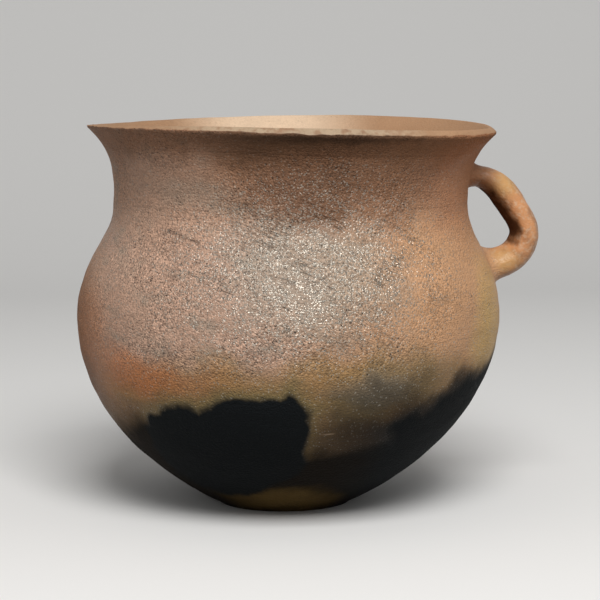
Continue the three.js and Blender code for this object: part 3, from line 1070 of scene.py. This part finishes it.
class OLLA_OT_rim_coil(bpy.types.Operator):
    """Flare the last coil out to the lip, and leave the lip's edge ragged"""
    bl_idname = "olla.rim_coil"
    bl_label = "Rim coil"

    def execute(self, context):
        wall = context.scene.olla_wall
        outline = Outline(wall)
        piece = turned("rim_coil_clay", rim_section(outline, outline.distance_at(COILS[-1][1])))
        x, y, z = points_of(piece).T
        edge = outline.face(outline.length)
        near = np.hypot(np.hypot(x, y) - edge[0], z - edge[1])
        group = piece.vertex_groups.new(name=LIP_EDGE)
        for index, weight in enumerate(np.clip(1 - near / RAGGED_REACH, 0, 1)):
            if weight > 0:
                group.add([index], weight, "REPLACE")
        lean_and_wave(piece, wall)
        hand_pressed(piece)
        press(piece, RAGGED_LIP, LIP_EDGE)
        piece.vertex_groups.clear()
        finish_piece(piece, "rim_coil", "micaceous_clay", context.scene.olla_clay)
        return {"FINISHED"}


class OLLA_OT_handle_rope(bpy.types.Operator):
    """Bend the rolled rope of the handle from the neck to the shoulder"""
    bl_idname = "olla.handle_rope"
    bl_label = "Handle rope"

    def execute(self, context):
        outline = Outline(context.scene.olla_wall)
        lines = []
        for skin_line in rope_skin(outline, context.scene.olla_handle):
            ends = [crossing(outline, skin_line, ROPE_DEPTH, start) for start in (True, False)]
            lines.append(along_line(skin_line, np.linspace(*ends, ROPE_RINGS)))
        rings = np.swapaxes(np.array(lines), 0, 1)
        piece = ring_mesh("handle_rope_clay", rings)
        cut_open(piece, rings.shape[1])
        face_outward()
        note_distance(piece, outline)
        hand_pressed(piece)
        press(piece, FINGER_MARKS)
        finish_piece(piece, "handle_rope", "handle_clay", context.scene.olla_clay)
        return {"FINISHED"}


class OLLA_OT_handle_lutes(bpy.types.Operator):
    """Smear the luting clay round both joints of the handle"""
    bl_idname = "olla.handle_lutes"
    bl_label = "Handle lutes"

    def execute(self, context):
        outline = Outline(context.scene.olla_wall)
        for node, start in (("upper_handle_lute", True), ("lower_handle_lute", False)):
            piece = ring_mesh(node + "_clay", lute_rings(outline, context.scene.olla_handle, start))
            face_outward()
            note_distance(piece, outline)
            hand_pressed(piece)
            finish_piece(piece, node, "handle_clay", context.scene.olla_clay)
        return {"FINISHED"}


class OLLA_OT_stage(bpy.types.Operator):
    """Set up the pale floor and backdrop, the soft light and the camera"""
    bl_idname = "olla.stage"
    bl_label = "Stage"

    def execute(self, context):
        stage = context.scene.olla_stage
        self.add_floor(stage)
        self.add_light(context, stage)
        self.add_camera(context)
        context.scene.view_settings.view_transform = "Standard"
        return {"FINISHED"}

    def add_floor(self, stage):
        bpy.ops.object.select_all(action="DESELECT")
        bpy.ops.mesh.primitive_plane_add(size=FLOOR_SIZE, location=(0, FLOOR_SHIFT, 0))
        floor = new_piece("floor")
        bpy.context.tool_settings.mesh_select_mode = (False, True, False)
        select_edges(floor, lambda place: place.y > 0)
        bpy.ops.object.mode_set(mode="EDIT")
        bpy.ops.mesh.extrude_edges_move(TRANSFORM_OT_translate={"value": (0, 0, BACKDROP_HEIGHT)})
        bpy.ops.object.mode_set(mode="OBJECT")
        select_edges(floor, lambda place: place.y > 0 and place.z == 0)
        bpy.ops.object.mode_set(mode="EDIT")
        bpy.ops.mesh.bevel(offset=BACKDROP_ROUND, segments=BACKDROP_STEPS)
        bpy.ops.object.mode_set(mode="OBJECT")
        bpy.ops.object.shade_smooth()
        finish = Finish("pale_floor")
        rays = ("Is Camera Ray", "Is Glossy Ray", "Is Transmission Ray")
        camera, glossy, transmission = [finish.node("LightPath", out=ray) for ray in rays]
        seen = camera.greater(glossy).greater(transmission)
        along = finish.split(finish.node("TexCoord", out="Object"))[1]
        pale = finish.mix(finish.fall(along, *DULL_FLOOR_Y), stage.floor, stage.lamp_floor)
        shader = finish.node("BsdfPrincipled", {
            "Base Color": finish.mix(seen, stage.bounce, pale), "Roughness": FLOOR_ROUGHNESS,
        })
        finish.node("OutputMaterial", {"Surface": shader})
        floor.data.materials.append(finish.material)

    def add_light(self, context, stage):
        world = bpy.data.worlds.new("soft light all round")
        world.use_nodes = True
        world.node_tree.nodes["Background"].inputs["Strength"].default_value = stage.fill
        world.node_tree.nodes["Background"].inputs["Color"].default_value = (1, 1, 1, 1)
        context.scene.world = world
        toward = Vector((
            math.sin(LAMP_AZIMUTH) * LAMP_LEVEL, -math.cos(LAMP_AZIMUTH) * LAMP_LEVEL, LAMP_RISE,
        ))
        bpy.ops.object.light_add(type="AREA", location=CAMERA_AIM + toward * LAMP_DISTANCE)
        key = bpy.context.object
        key.name = "key"
        key.rotation_euler = toward.to_track_quat("Z", "Y").to_euler()
        key.data.energy = stage.key_power
        key.data.size = LAMP_SIZE

    def add_camera(self, context):
        level = math.cos(CAMERA_ELEVATION)
        back = Vector((
            math.sin(CAMERA_AZIMUTH) * level, -math.cos(CAMERA_AZIMUTH) * level, math.sin(CAMERA_ELEVATION),
        ))
        bpy.ops.object.camera_add(location=CAMERA_AIM + CAMERA_DISTANCE * back)
        camera = bpy.context.object
        camera.rotation_euler = back.to_track_quat("Z", "Y").to_euler()
        camera.data.sensor_width = SENSOR
        camera.data.lens = FOCAL_PIXELS / PICTURE * SENSOR
        camera.data.clip_start = CLIP_START
        context.scene.camera = camera


STEPS = (
    OLLA_OT_stage,
    OLLA_OT_base_pat,
    OLLA_OT_wall_coils,
    OLLA_OT_rim_coil,
    OLLA_OT_handle_rope,
    OLLA_OT_handle_lutes,
)
GROUPS = {
    "olla_wall": OllaWall,
    "olla_handle": OllaHandle,
    "olla_clay": OllaClay,
    "olla_stage": OllaStage,
}


class OLLA_PT_build(bpy.types.Panel):
    """Steps of building the olla, with its sizes and colours"""
    bl_idname = "OLLA_PT_build"
    bl_label = "Clay olla"
    bl_space_type = "VIEW_3D"
    bl_region_type = "UI"
    bl_category = "Olla"

    def draw(self, context):
        for step in STEPS:
            self.layout.operator(step.bl_idname)
        for name, group in GROUPS.items():
            box = self.layout.box()
            for size in group.__annotations__:
                box.prop(getattr(context.scene, name), size)


CLASSES = (*GROUPS.values(), *STEPS, OLLA_PT_build)


def register():
    for cls in CLASSES:
        bpy.utils.register_class(cls)
    for name, group in GROUPS.items():
        setattr(bpy.types.Scene, name, bpy.props.PointerProperty(type=group))


def unregister():
    for name in GROUPS:
        delattr(bpy.types.Scene, name)
    for cls in reversed(CLASSES):
        bpy.utils.unregister_class(cls)


def main():
    register()
    for step in STEPS:
        family, name = step.bl_idname.split(".")
        getattr(getattr(bpy.ops, family), name)()


if __name__ == "__main__":
    main()
